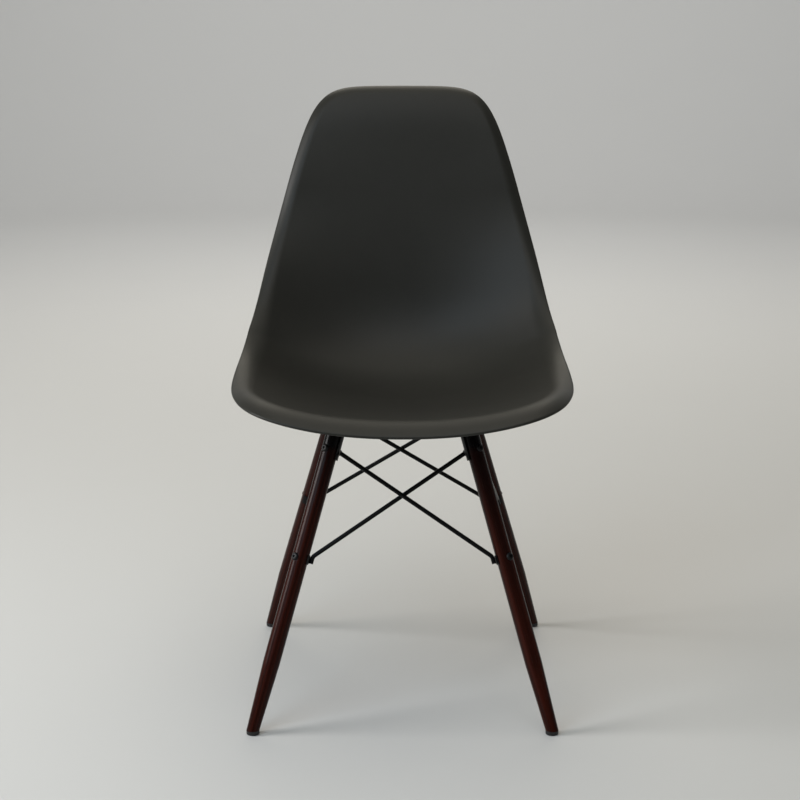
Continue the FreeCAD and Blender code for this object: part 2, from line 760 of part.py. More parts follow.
def make_leg(corner):
    """A tapered dowel, its foot cut level with the floor."""
    name = "leg_" + corner
    body = new_body(name)
    below = size.foot_dia / 2
    foot, shaft = size.foot_dia / 2, size.leg_dia / 2
    turned(body, name + "_turned", [(0, -below), (foot, -below), (foot, 0),
                                    (shaft, size.taper_length), (shaft, size.leg_length),
                                    (0, size.leg_length)])
    rounded(body, name + "_top", body.Tip, size.leg_top_round, circle_at(size.leg_length, shaft))
    level = new_sketch(body, name + "_level", "XZ_Plane", turn=-size.leg_lean_angle.value)
    outline(level, [(-size.leg_dia, 0), (size.leg_dia, 0),
                    (size.leg_dia, -size.leg_dia), (-size.leg_dia, -size.leg_dia)])
    volumes = [body.Tip.Shape.Volume]
    feature(body, "Pocket", name + "_foot", level, Length=size.leg_dia * 2, SideType="Symmetric")
    volumes.append(body.Tip.Shape.Volume)
    nail_hole = (size.nail_dia + size.hole_clearance) / 2
    hole_depth = size.nail_recess + size.nail_length - size.glide_thick + size.hole_clearance
    turned(body, name + "_nail_hole", [(0, -1), (nail_hole, -1), (nail_hole, hole_depth),
                                       (0, hole_depth)], "Groove", -size.leg_lean_angle.value)
    volumes.append(body.Tip.Shape.Volume)
    for label, along in (("upper", UPPER_BOLT_AT), ("lower", LOWER_BOLT_AT)):
        hole = new_sketch(body, f"{name}_{label}_hole_outline", "YZ_Plane")
        ring(hole, size.bolt_dia + size.hole_clearance, 0, along)
        feature(body, "Pocket", f"{name}_{label}_hole", hole, Length=size.leg_dia * 2,
                SideType="Symmetric")
        volumes.append(body.Tip.Shape.Volume)
        flat = new_sketch(body, f"{name}_{label}_flat_outline", "YZ_Plane",
                          size.leg_dia / 2 - size.spot_face)
        ring(flat, size.head_dia + size.hole_clearance, 0, along)
        feature(body, "Pocket", f"{name}_{label}_flat", flat, Length=size.leg_dia, Reversed=True)
        volumes.append(body.Tip.Shape.Volume)
    if any(after >= before for before, after in zip(volumes, volumes[1:])):
        raise RuntimeError(name + ": a cut removes nothing")
    body.Placement = leg_frame(corner)
    keep(body, name)


def make_glide(corner):
    """A plastic button under the foot, with a countersunk hole for its nail."""
    name = "glide_" + corner
    body = new_body(name)
    outer = size.glide_dia / 2
    hole = (size.nail_dia + size.hole_clearance) / 2
    seat = (size.nail_head_dia + size.hole_clearance) / 2
    seat_depth = size.nail_recess + size.nail_head_thick
    turned(body, name + "_turned", [(seat, 0), (outer, 0), (outer, size.glide_thick),
                                    (hole, size.glide_thick), (hole, seat_depth), (seat, seat_depth)])
    rounded(body, name + "_rim", body.Tip, size.glide_round, circle_at(as_size(0), outer))
    body.Placement = foot_frame(corner)
    keep(body, name)


def make_glide_nails():
    nails = []
    for corner in CORNERS:
        body = new_body("glide_nail_" + corner)
        head, shank = size.nail_head_dia / 2, size.nail_dia / 2
        point = size.nail_length - size.nail_dia
        turned(body, "nail_turned_" + corner, [(0, 0), (head, 0), (head, size.nail_head_thick),
                                               (shank, size.nail_head_thick), (shank, point),
                                               (0, size.nail_length)])
        body.Placement = foot_frame(corner) * Placement(Vector(0, 0, size.nail_recess.value),
                                                        Rotation())
        nails.append(body)
    group("glide_nails", nails)


def make_wrap(name, corner, radius, length, start, bolt_at):
    """A half tube of sheet steel round the inner side of a leg, with its bolt hole."""
    frame = leg_frame(corner)
    place = frame * Placement(Vector(0, 0, start.value), Rotation(Z_AXIS, 90))
    outer = cylinder(name + "_outer", radius * 2, length, place)
    inner = cylinder(name + "_inner", BRACKET_INNER * 2, length, place)
    outer.Angle = 180
    inner.Angle = 180
    half_tube = cut(name + "_half_tube", outer, inner)
    hole_place = across_leg(corner, bolt_at, -(radius * 2))
    hole = cylinder(name + "_hole", size.bolt_dia + size.hole_clearance, radius * 2, hole_place)
    keep(cut(name, half_tube, hole), name)


def make_bolts(label, along, radius):
    """A bolt through each leg from its outer side, and its nut on the steel at the inner side."""
    seat = size.leg_dia / 2 - size.spot_face
    shank = seat + radius + size.nut_thick + size.bolt_tail
    bolts, nuts = [], []
    for corner in CORNERS:
        inward = Placement(Vector(seat.value, 0, along.value), Rotation(Y_AXIS, -90))
        bolt = button_screw(f"{label}_bolt_{corner}", shank)
        bolt.Placement = leg_frame(corner) * inward
        bolts.append(bolt)
        nut = new_body(f"{label}_nut_{corner}")
        sketch = new_sketch(nut, f"{label}_nut_outline_{corner}", "XY_Plane")
        hexagon(sketch, size.nut_across)
        ring(sketch, size.bolt_dia + size.thread_play)
        feature(nut, "Pad", f"{label}_nut_pad_{corner}", sketch, Length=size.nut_thick)
        behind = Placement(Vector(-radius.value, 0, along.value),
                           Rotation(Y_AXIS, -90) * Rotation(Z_AXIS, 90))
        nut.Placement = leg_frame(corner) * behind
        nuts.append(nut)
    group(label + "_leg_bolts", bolts)
    group(label + "_leg_nuts", nuts)


# Cross struts: each side of the base has two, in the leaning plane of its two legs

SIDES = ("front", "right", "rear", "left")


def make_strut(side, letter):
    """From the top bracket of one leg down to the saddle of the next, where it bends along the
    leg. Strut b is strut a turned about the middle of its side, so the two cross side by side."""
    quarter_turns = SIDES.index(side)
    half_width, half_depth = (HALF_Y, HALF_X) if quarter_turns % 2 else (HALF_X, HALF_Y)
    across_slope = math.tan(LEAN) * half_width / FOOT_RADIUS
    plane_lean = math.atan(math.tan(LEAN) * half_depth / FOOT_RADIUS)
    leg_turn = math.atan(across_slope * math.cos(plane_lean))
    stretch = math.cos(LEAN) / math.cos(plane_lean)

    def beside_leg(along_leg, distance):
        """A point in the plane beside the right-hand leg, towards the other leg."""
        height = along_leg * stretch
        reach = half_width - height * math.tan(leg_turn)
        return Vector(reach - distance * math.cos(leg_turn), height - distance * math.sin(leg_turn), 0)

    butt = BRACKET_OUTER.value + size.strut_butt.value
    top = beside_leg(UPPER_BOLT_AT.value - size.strut_top_drop.value, butt)
    top.x = -top.x
    side_by_side = SADDLE_OUTER.value + size.strut_dia.value / 2
    corner = beside_leg(LOWER_BOLT_AT.value + size.strut_foot_rise.value, side_by_side)
    run = corner - top
    fall = math.atan2(-run.y, run.x)
    turn_down = math.pi / 2 - leg_turn - fall
    tail = size.strut_tail.value
    end = Vector(run.Length + tail * math.cos(turn_down), -tail * math.sin(turn_down), 0)
    name = f"strut_{side}_{letter}"
    body = new_body(name)
    bent_rod(body, [Vector(0, 0, 0), Vector(run.Length, 0, 0), end],
             size.strut_bend_radius.value, size.strut_dia)
    off_plane = (size.strut_dia.value + size.strut_gap.value) / 2
    outward = Rotation(Z_AXIS, 90 * quarter_turns)
    foot = Vector(0, -half_depth, size.glide_thick.value)
    plane = Placement(BASE_MIDDLE + outward.multVec(foot),
                      outward * Rotation(X_AXIS, -math.degrees(plane_lean)))
    half_turn = Placement(Vector(), Rotation(Z_AXIS, 0 if letter == "a" else 180))
    in_plane = Placement(Vector(top.x, -off_plane, top.y), Rotation(Y_AXIS, math.degrees(fall)))
    body.Placement = plane * half_turn * in_plane
    keep(body, name)


# The whole chair

make_shell()
make_inserts()
for corner in CORNERS:
    make_pad(corner)
make_seat_screws()
make_rod("base_rod_a", "rear_right", False)
make_rod("base_rod_b", "rear_left", True)
for corner in CORNERS:
    make_tab(corner)
    make_leg(corner)
    make_glide(corner)
    bracket_start = UPPER_BOLT_AT - size.bracket_below
    bracket_length = size.leg_length - size.bracket_top_gap - bracket_start
    make_wrap("top_bracket_" + corner, corner, BRACKET_OUTER, bracket_length,
              bracket_start, UPPER_BOLT_AT)
    saddle_start = LOWER_BOLT_AT - size.saddle_length / 2
    make_wrap("lower_saddle_" + corner, corner, SADDLE_OUTER, size.saddle_length,
              saddle_start, LOWER_BOLT_AT)
make_glide_nails()
make_bolts("upper", UPPER_BOLT_AT, BRACKET_OUTER)
make_bolts("lower", LOWER_BOLT_AT, SADDLE_OUTER)
for side in SIDES:
    for letter in ("a", "b"):
        make_strut(side, letter)

doc.recompute()
for thing in doc.Objects:
    if "Invalid" in thing.State or "Error" in thing.State:
        raise RuntimeError(f"{thing.Label} failed: {thing.State}")
for node in NODES:
    if node.Shape.isNull() or not node.Shape.isValid():
        raise RuntimeError(f"{node.Label} has no valid shape")

os.makedirs("parts", exist_ok=True)
for node in NODES:
    node.Shape.exportStep(f"parts/{node.Label}.step")
    print(node.Label, len(node.Shape.Solids), round(node.Shape.Volume))
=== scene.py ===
import json
import math

import bpy
import numpy as np
from mathutils import Matrix, Vector

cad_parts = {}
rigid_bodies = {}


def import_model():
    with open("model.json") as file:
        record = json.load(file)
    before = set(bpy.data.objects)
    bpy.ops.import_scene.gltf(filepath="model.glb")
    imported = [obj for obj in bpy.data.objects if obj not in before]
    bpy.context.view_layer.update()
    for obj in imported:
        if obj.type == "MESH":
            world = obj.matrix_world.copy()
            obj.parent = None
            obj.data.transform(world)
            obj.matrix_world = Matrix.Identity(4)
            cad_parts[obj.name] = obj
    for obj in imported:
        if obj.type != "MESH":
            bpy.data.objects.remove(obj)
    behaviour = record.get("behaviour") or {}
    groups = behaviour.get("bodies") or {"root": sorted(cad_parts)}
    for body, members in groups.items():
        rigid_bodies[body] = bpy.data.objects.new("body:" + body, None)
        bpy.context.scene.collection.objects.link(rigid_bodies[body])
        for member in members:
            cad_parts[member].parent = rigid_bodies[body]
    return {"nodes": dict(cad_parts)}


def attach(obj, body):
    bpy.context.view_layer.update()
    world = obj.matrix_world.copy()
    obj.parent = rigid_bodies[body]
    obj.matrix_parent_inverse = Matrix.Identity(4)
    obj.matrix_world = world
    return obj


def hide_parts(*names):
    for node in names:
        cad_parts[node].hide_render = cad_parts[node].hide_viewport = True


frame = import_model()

bl_info = {
    "name": "Plastic Shell Chair",
    "version": (1, 0, 0),
    "blender": (4, 5, 0),
    "location": "View3D > Sidebar > Shell Chair",
    "description": "Dresses the frame of a moulded plastic shell chair on wooden legs",
    "category": "Object",
}

# A new Blender file may hold a cube, a lamp and a camera of its own. They aren't wanted.
for thing in list(bpy.context.scene.objects):
    if thing.type != "EMPTY" and thing.name not in frame["nodes"]:
        bpy.data.objects.remove(thing)

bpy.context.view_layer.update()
MILLIMETRE = 0.001
CORNERS = ("front_left", "front_right", "rear_left", "rear_right")
SIDES = ("front", "right", "rear", "left")
PHOTO_PIXELS = 800


# Properties

def length(name, millimetres, description):
    """A length that the panel shows in the scene's unit, with its default in millimetres."""
    return bpy.props.FloatProperty(name=name, description=description, unit="LENGTH",
                                   default=millimetres * MILLIMETRE, precision=4)


def angle(name, degrees, description):
    """An angle that the panel shows in degrees."""
    return bpy.props.FloatProperty(name=name, description=description, subtype="ANGLE",
                                   default=math.radians(degrees))


def metres(name, default, description):
    """A length of the stage, its default in metres."""
    return bpy.props.FloatProperty(name=name, description=description, unit="LENGTH",
                                   default=default)


def number(name, default, description):
    """A plain number, such as a share or a power."""
    return bpy.props.FloatProperty(name=name, description=description, default=default)


def colour(name, red, green, blue, description):
    """A colour, its default given as it looks on a screen, from 0 to 255, and turned linear by
    the standard curve for screens."""
    shown = np.array([red, green, blue]) / 255
    linear = np.where(shown <= 0.04045, shown / 12.92, ((shown + 0.055) / 1.055) ** 2.4)
    return bpy.props.FloatVectorProperty(name=name, description=description, subtype="COLOR",
                                         size=3, min=0, max=1, default=tuple(linear))


class ShellSettings(bpy.types.PropertyGroup):
    """Sizes of the moulded shell. A station is a distance along its middle line, from the front
    lip over the seat and up the back."""

    shell_length: length("Length", 816.4, "Front lip to top of back, along the middle line")
    wall: length("Wall", 4.8, "Thickness of the moulded shell")
    lip_reach: length("Lip reach", 268.8, "Front lip in front of the origin")
    seat_low: length("Seat height", 412.0, "Height of the lowest line of the seat's top")
    seat_fall: angle("Seat fall", 8, "Slope of the seat down to the rear")
    seat_levelling: angle("Seat levelling", 6, "How much of that slope is lost to the rear")
    levelling_start: length("Levelling start", 20, "Station where that loss starts")
    levelling_end: length("Levelling end", 319, "Station where it ends")
    hip_start: length("Hip start", 259, "Station where the seat starts to turn upwards")
    hip_end: length("Hip end", 520.8, "Station where the back has its full slope")
    back_slope: angle("Back slope", 76.2, "Slope of the lower back")
    back_ease: angle("Back ease", 1.4, "How much flatter the upper back leans")
    ease_short: length("Ease end", 40, "The back eases until this far below the top edge")
    top_curl: angle("Top curl", 23.1, "How far the top edge curls back")
    curl_length: length("Curl", 90, "The curl starts this far below the top edge")
    curl_beyond: length("Curl beyond", 25, "It would be complete this far beyond the top edge")
    seat_width: length("Seat width", 472.6, "Width of the seat before its corners are rounded")
    waist_in: length("Waist", 17.3, "Narrowing of each side along the seat")
    waist_start: length("Waist start", 141.9, "Station where that narrowing starts")
    waist_end: length("Waist end", 449.7, "Station where that narrowing ends")
    back_in: length("Back taper", 78.3, "Narrowing of each side up the back")
    taper_start: length("Taper start", 379.6, "Station where the back's narrowing starts")
    taper_end: length("Taper end", 873.2, "Station where the back's narrowing would end")
    front_power: number("Front corners", 5.27, "Power of the front corners, 2 is a circle")
    top_power: number("Top corners", 6.1, "Power of the curve round the top corners")
    side_rise: length("Side rise", 43, "Rise of the seat's sides above its middle")
    side_power: number("Side power", 2.22, "Power of the rise across the shell")
    hip_rise: length("Hip rise", 34.5, "Further rise at the hips")
    rise_start: length("Rise start", 131.4, "Station where that further rise starts")
    rise_end: length("Rise end", 371.2, "Station where it is complete")
    back_flattening: length("Back flattening", 71.7, "Loss of the rise up the lower back")
    flattening_start: length("Flattening start", 394.2, "Station where that loss starts")
    flattening_middle: length("Flattening middle", 649.7, "Station where the upper loss starts")
    flattening_end: length("Flattening end", 850, "Station where that would end")
    top_flattening: length("Top flattening", 13.2, "Loss of the rise up the upper back")
    lip_roll: length("Lip roll", 21, "How far the front lip rolls down")
    rim_roll: length("Rim roll", 11.1, "How far the rest of the rim rolls outwards")
    lip_rim: length("Lip rim", 39.7, "Width of the rolled rim at the front lip")
    seat_rim: length("Seat rim", 32, "Width of the rolled rim at the seat's sides")
    back_rim: length("Back rim", 20, "Width of the rolled rim round the back")
    lip_start: length("Lip start", 20, "Station where the lip's rim starts to turn into the side's")
    lip_end: length("Lip end", 190, "Station where it has become the side's")
    narrowing_start: length("Narrowing start", 350, "Station where the rim starts to narrow")
    narrowing_end: length("Narrowing end", 600, "Station where it has the back's width")
    boss_dia: length("Boss", 25, "Diameter of the bosses under the seat")
    boss_fillet: length("Boss fillet", 5, "Radius where a boss meets the shell")


class FinishSettings(bpy.types.PropertyGroup):
    """Colours of the chair's finishes."""

    shell: colour("Shell", 39, 38, 34, "Moulded plastic of the shell")
    # This rubbed colour also paints a highlight along the rim.
    shell_worn_and_highlight: colour("Shell, rubbed", 50, 49, 44, "The same plastic where it is rubbed")
    wood: colour("Wood", 36, 9, 4, "Stained wood of the legs")
    wood_pale: colour("Wood, pale grain", 62, 21, 11, "The wood's paler early growth")
    # The pore colour is also the colour of the painted shade near the legs' tops.
    wood_pore_and_shadow: colour("Wood, pores", 10, 3, 2, "Stain gathered in the wood's pores")
    # Painted shade: between these two heights the legs darken towards the pore colour, standing in
    # for the shell's shadow.
    shell_shadow_start: length("Stain darkens from", 270, "Height where the legs start to darken")
    shell_shadow_full: length("Stain is dark from", 370, "Height where they are fully dark")
    black_start: length("Black from", 362, "Height where the legs' black tops start")
    black_full: length("Fully black from", 374, "Height where the legs are black")
    steel: colour("Steel", 9, 9, 10, "Black coating of the steel base")
    fastener: colour("Fasteners", 24, 24, 25, "Blackened bolts, screws and nuts")
    glide: colour("Glides", 20, 20, 21, "Plastic of the foot glides")
    rubber: colour("Rubber", 26, 26, 26, "Rubber of the spacer pads")
    brass: colour("Brass", 176, 138, 76, "Threaded inserts")
    bright_steel: colour("Bright steel", 172, 173, 172, "Nails through the glides")


class StageSettings(bpy.types.PropertyGroup):
    """Floor, lamps and camera."""

    floor: colour("Floor", 201, 200, 197, "Plain pale floor")
    floor_radius: metres("Floor radius", 5.0, "Flat part of the floor")
    sweep: metres("Floor sweep", 1.6, "Radius in which the floor turns up into the backdrop")
    wall_height: metres("Backdrop height", 3.0, "Top of the backdrop")
    sky: number("Sky", 0.15, "Strength of the even light from all round")
    left_lamp: number("Left lamp", 70.0, "Power of the lamp at the left, in watts")
    key_lamp: number("Key lamp", 52.0, "Power of the large cool lamp at the front left, in watts")
    front_lamp: number("Front lamp", 17.5, "Power of the lamp above the front, in watts")
    overhead_lamp: number("Overhead lamp", 23.0, "Power of the warm lamp above, in watts")
    rear_lamp: number("Rear lamp", 26.0, "Power of the lamp above the rear, in watts")
    backdrop_lamp: number("Backdrop lamp", 70.0, "Power of the backdrop's own lamp, in watts")
    camera_x: length("Camera, across", -3.3, "Place of the camera from left to right")
    camera_y: length("Camera, back", -3053.5, "Place of the camera from front to rear")
    camera_z: length("Camera, up", 1085.9, "Height of the camera")
    pitch: angle("Camera pitch", 12.55, "How far the camera looks down")
    focal_pixels: number("Focal length", 2224.4, "Focal length in pixels of the photograph")
    middle_row: number("Middle row", 402.1, "Row of the photograph that the camera looks along")


# Meshes

def mesh_object(name, vertices, faces):
    """A smooth-shaded mesh from an array of vertices in metres and arrays of quads."""
    mesh = bpy.data.meshes.new(name)
    mesh.from_pydata(vertices.reshape(-1, 3), [], np.vstack(faces).tolist())
    mesh.polygons.foreach_set("use_smooth", np.ones(len(mesh.polygons), bool))
    mesh.update()
    made = bpy.data.objects.new(name, mesh)
    bpy.context.scene.collection.objects.link(made)
    return made


def quads(first, second):
    """Quads between two rows of vertex numbers, or between all neighbouring rows of a table."""
    return np.stack([first[..., :-1], first[..., 1:], second[..., 1:], second[..., :-1]],
                    axis=-1).reshape(-1, 4)


def sheet_quads(numbers):
    """Quads of a whole table of vertex numbers."""
    return quads(numbers[:-1], numbers[1:])


def wear(thing, name, amounts):
    """Stores one number for each vertex, for a material to read."""
    layer = thing.data.attributes.new(name, "FLOAT", "POINT")
    layer.data.foreach_set("value", np.asarray(amounts, np.float32).ravel())


def dress(node_names, material):
    """Gives CAD nodes a material."""
    for name in node_names:
        for slot in frame["nodes"][name].material_slots:
            slot.material = material


def node_points(name):
    """The vertices of a CAD node as an array of rows, in metres."""
    mesh = frame["nodes"][name].data
    flat = np.empty(len(mesh.vertices) * 3, np.float32)
    mesh.vertices.foreach_get("co", flat)
    return flat.reshape(-1, 3).astype(float)


# The shell's form

def smooth_step(share):
    """0 up to 0, 1 from 1 on, and 3u squared less 2u cubed between them."""
    share = np.clip(share, 0.0, 1.0)
    return share * share * (3 - 2 * share)


def graded(station, start, changes):
    """A start value plus each change times a smooth step from one station to another."""
    value = np.full(np.shape(station), float(start))
    for begin, end, change in changes:
        value = value + change * smooth_step((station - begin) / (end - begin))
    return value


class ShellForm:
    """The shell's top surface as a smooth function of two numbers: across, from -1 at the left
    edge to 1 at the right, and along, from -1 at the front lip to 1 at the top of the back."""

    STEP = 0.25 * MILLIMETRE
    STEPS_BEYOND = 8
    NUDGE = 1e-3
    TINY = 1e-9
    # The higher this power, the less of the shell moves when its outline is drawn in.
    HOLD_POWER = 6
    # Where the search for a point under the seat starts, and how often it is corrected.
    FIRST_ALONG = -0.4
    ROUNDS = 12

    def __init__(self, sizes):
        self.sizes = sizes
        self.length = sizes.shell_length
        self.heading_laws = [
            (sizes.levelling_start, sizes.levelling_end, sizes.seat_levelling),
            (sizes.hip_start, sizes.hip_end,
             sizes.back_slope + sizes.seat_fall - sizes.seat_levelling),
            (sizes.hip_end, self.length - sizes.ease_short, -sizes.back_ease),
            (self.length - sizes.curl_length, self.length + sizes.curl_beyond, -sizes.top_curl),
        ]
        self.width_laws = [
            (sizes.waist_start, sizes.waist_end, -sizes.waist_in),
            (sizes.taper_start, sizes.taper_end, -sizes.back_in),
        ]
        self.rise_laws = [
            (sizes.rise_start, sizes.rise_end, sizes.hip_rise),
            (sizes.flattening_start, sizes.flattening_middle, -sizes.back_flattening),
            (sizes.flattening_middle, sizes.flattening_end, -sizes.top_flattening),
        ]
        self.roll_laws = [(sizes.lip_start, sizes.lip_end, sizes.rim_roll - sizes.lip_roll)]
        self.rim_laws = [
            (sizes.lip_start, sizes.lip_end, sizes.seat_rim - sizes.lip_rim),
            (sizes.narrowing_start, sizes.narrowing_end, sizes.back_rim - sizes.seat_rim),
        ]
        self.trace_middle_line()

    def heading(self, station):
        """Slope of the middle line in radians: 0 is level to the rear, a right angle is up."""
        return graded(station, -self.sizes.seat_fall, self.heading_laws)

    def trace_middle_line(self):
        """Adds up the middle line from its slope in short steps: y by the cosine, z by the sine."""
        count = int(self.length / self.STEP) + self.STEPS_BEYOND
        slopes = self.heading((np.arange(count) + 0.5) * self.STEP)
        y = np.concatenate([[0.0], np.cumsum(np.cos(slopes)) * self.STEP])
        z = np.concatenate([[0.0], np.cumsum(np.sin(slopes)) * self.STEP])
        self.stations = np.arange(count + 1) * self.STEP
        self.line_y = y - self.sizes.lip_reach
        self.line_z = z - z.min() + self.sizes.seat_low

    def station(self, along):
        return self.length * (along + 1) / 2

    def half_width(self, station):
        return graded(station, self.sizes.seat_width / 2, self.width_laws)

    def outline_level(self, across, along):
        """0 in the middle and 1 on the outline: the root of |across|^n + |along|^n, with one
        power n for the front corners and another for the top ones. Also gives how fast that
        level falls with each metre away from the edge."""
        power = np.where(along < 0, self.sizes.front_power, self.sizes.top_power)
        level = (np.abs(across) ** power + np.abs(along) ** power + self.TINY) ** (1 / power)
        half_width = self.half_width(self.station(along))
        slope_across = (np.abs(across) / level) ** (power - 1) / half_width
        slope_along = (np.abs(along) / level) ** (power - 1) / (self.length / 2)
        return level, np.hypot(slope_across, slope_along) + self.TINY

    def to_edge(self, across, along):
        """Distance to the edge over the surface, nearly."""
        level, fall = self.outline_level(across, along)
        return (1 - level) / fall

    def point(self, across, along):
        """The middle line's point, plus half the width times across, plus a lift square to the
        middle line: rise times |across| to a power, less a rolled rim that falls away with the
        square of the nearness to the edge."""
        station = self.station(along)
        y = np.interp(station, self.stations, self.line_y)
        z = np.interp(station, self.stations, self.line_z)
        rise = graded(station, self.sizes.side_rise, self.rise_laws)
        rim = graded(station, self.sizes.lip_rim, self.rim_laws)
        roll = graded(station, self.sizes.lip_roll, self.roll_laws)
        nearness = np.clip(1 - self.to_edge(across, along) / rim, 0.0, None)
        lift = rise * np.abs(across) ** self.sizes.side_power - roll * nearness ** 2
        lean = self.heading(station)
        return np.stack([self.half_width(station) * across, y - lift * np.sin(lean),
                         z + lift * np.cos(lean)], axis=-1)

    def upward(self, across, along):
        """Unit vectors square to the surface, on the sitter's side: the cross product of the
        surface's two directions, each from two near points."""
        run = self.point(across + self.NUDGE, along) - self.point(across - self.NUDGE, along)
        climb = self.point(across, along + self.NUDGE) - self.point(across, along - self.NUDGE)
        square = np.cross(run, climb)
        return square / np.linalg.norm(square, axis=-1, keepdims=True)

    def spread(self, across, along):
        """Carries a square of -1 to 1 to the rounded outline. Its front side goes to the front
        of the outline as far as the middle of the front corners, its rear side to the top."""
        front, top = self.sizes.front_power, self.sizes.top_power
        front_corner, top_corner = 0.5 ** (1 / front), 0.5 ** (1 / top)
        up = (1 + along) / 2
        side = -front_corner + (front_corner + top_corner) * up
        power = np.where(side < 0, front, top)
        reach = (1 - np.abs(side) ** power) ** (1 / power)
        front_edge = (1 - np.abs(front_corner * across) ** front) ** (1 / front)
        top_edge = (1 - np.abs(top_corner * across) ** top) ** (1 / top)
        return across * reach, up * top_edge - (1 - up) * front_edge

    def drawn_in(self, across, along, distance):
        """Moves parameters towards the middle, so that the outline lies a distance inside its
        place and the middle of the shell stays where it is."""
        level, fall = self.outline_level(across, along)
        share = 1 - distance * fall * level ** self.HOLD_POWER
        return across * share, along * share

    def underside_height(self, x, y):
        """Height of the shell's under surface over points of the floor: parameters are corrected
        by the miss in x and y until the surface's point stands over the wanted one."""
        across = x / self.half_width(self.length / 4)
        along = np.full(np.shape(x), self.FIRST_ALONG)
        for _ in range(self.ROUNDS):
            under = self.point(across, along) - self.sizes.wall * self.upward(across, along)
            across = across - (under[..., 0] - x) / self.half_width(self.station(along))
            along = along - (under[..., 1] - y) / (self.length / 2)
        return under[..., 2]


# Shader values and nodes

class Signal:
    """A number that varies over a surface. Python sums with it add their Math nodes."""

    def __init__(self, finish, socket):
        self.finish = finish
        self.socket = socket

    def math(self, operation, *terms):
        return self.finish.read("ShaderNodeMath", {"operation": operation},
                                dict(enumerate(terms)))

    def __add__(self, other):
        return self.math("ADD", self, other)

    def __radd__(self, other):
        return self.math("ADD", other, self)

    def __sub__(self, other):
        return self.math("SUBTRACT", self, other)

    def __rsub__(self, other):
        return self.math("SUBTRACT", other, self)

    def __mul__(self, other):
        return self.math("MULTIPLY", self, other)

    def __rmul__(self, other):
        return self.math("MULTIPLY", other, self)

    def __truediv__(self, other):
        return self.math("DIVIDE", self, other)

    def __pow__(self, other):
        return self.math("POWER", self, other)

    def between(self, low, high):
        """0 below low, 1 above high and a smooth step between."""
        return self.finish.read("ShaderNodeMapRange", {"interpolation_type": "SMOOTHSTEP"},
                                {"Value": self, "From Min": low, "From Max": high})


class Finish:
    """A material with one Principled shader, and its nodes."""

    def __init__(self, name):
        self.material = bpy.data.materials.new(name)
        self.material.use_nodes = True
        self.tree = self.material.node_tree
        self.shader = self.tree.nodes["Principled BSDF"]
        self.place = self.node("ShaderNodeTexCoord").outputs["Object"]

    def node(self, kind, settings=None, inputs=None):
        """Adds a node: its settings first, then the values or links of its sockets."""
        made = self.tree.nodes.new(kind)
        for field, setting in (settings or {}).items():
            if field == "stops":
                self.set_stops(made.color_ramp, setting)
            else:
                setattr(made, field, setting)
        for key, amount in (inputs or {}).items():
            self.feed(made.inputs[key], amount)
        return made

    def set_stops(self, ramp, stops):
        """Colour ramp stops as pairs of position and colour."""
        while len(ramp.elements) < len(stops):
            ramp.elements.new(0.5)
        for element, (position, shade) in zip(ramp.elements, stops):
            element.position = position
            element.color = (*shade, 1.0)

    def feed(self, socket, amount):
        if isinstance(amount, Signal):
            self.tree.links.new(amount.socket, socket)
        elif isinstance(amount, bpy.types.NodeSocket):
            self.tree.links.new(amount, socket)
        elif socket.type == "RGBA" and len(amount) == 3:
            socket.default_value = (*amount, 1.0)
        else:
            socket.default_value = amount

    def read(self, kind, settings=None, inputs=None, output=0):
        """Adds a node and returns one of its outputs as a signal."""
        return Signal(self, self.node(kind, settings, inputs).outputs[output])

    def set(self, **amounts):
        """Sets or links sockets of the shader, with spaces in their names as underscores."""
        for key, amount in amounts.items():
            self.feed(self.shader.inputs[key.replace("_", " ")], amount)

    def stretched(self, scale, place=None):
        """Coordinates stretched by three factors."""
        return self.node("ShaderNodeVectorMath", {"operation": "MULTIPLY"},
                         {0: place or self.place, 1: scale}).outputs[0]

    def noise(self, scale, detail=2.0, roughness=0.5, distortion=0.0, place=None):
        """Cloudy noise from 0 to 1, scale in cells per metre."""
        return self.read("ShaderNodeTexNoise", None, {
            "Vector": place or self.place, "Scale": scale, "Detail": detail,
            "Roughness": roughness, "Distortion": distortion})

    def specks(self, scale, place=None):
        """Distance to the nearest of many scattered points."""
        return self.read("ShaderNodeTexVoronoi", None,
                         {"Vector": place or self.place, "Scale": scale}, "Distance")

    def blend(self, share, first, second):
        """Mixes two colours by a share from 0 to 1."""
        return self.node("ShaderNodeMix", {"data_type": "RGBA"},
                         {0: share, 6: first, 7: second}).outputs[2]

    def bump(self, height, depth):
        """Feeds the normal with a relief, its height from 0 to 1 times a depth in metres."""
        self.set(Normal=self.node("ShaderNodeBump", None, {
            "Strength": 1.0, "Distance": depth, "Height": height}).outputs["Normal"])


def rgb(setting):
    return tuple(setting)


def scaled(shade, factor):
    """A colour made lighter or darker."""
    return tuple(min(part * factor, 1.0) for part in shade)


# Finishes

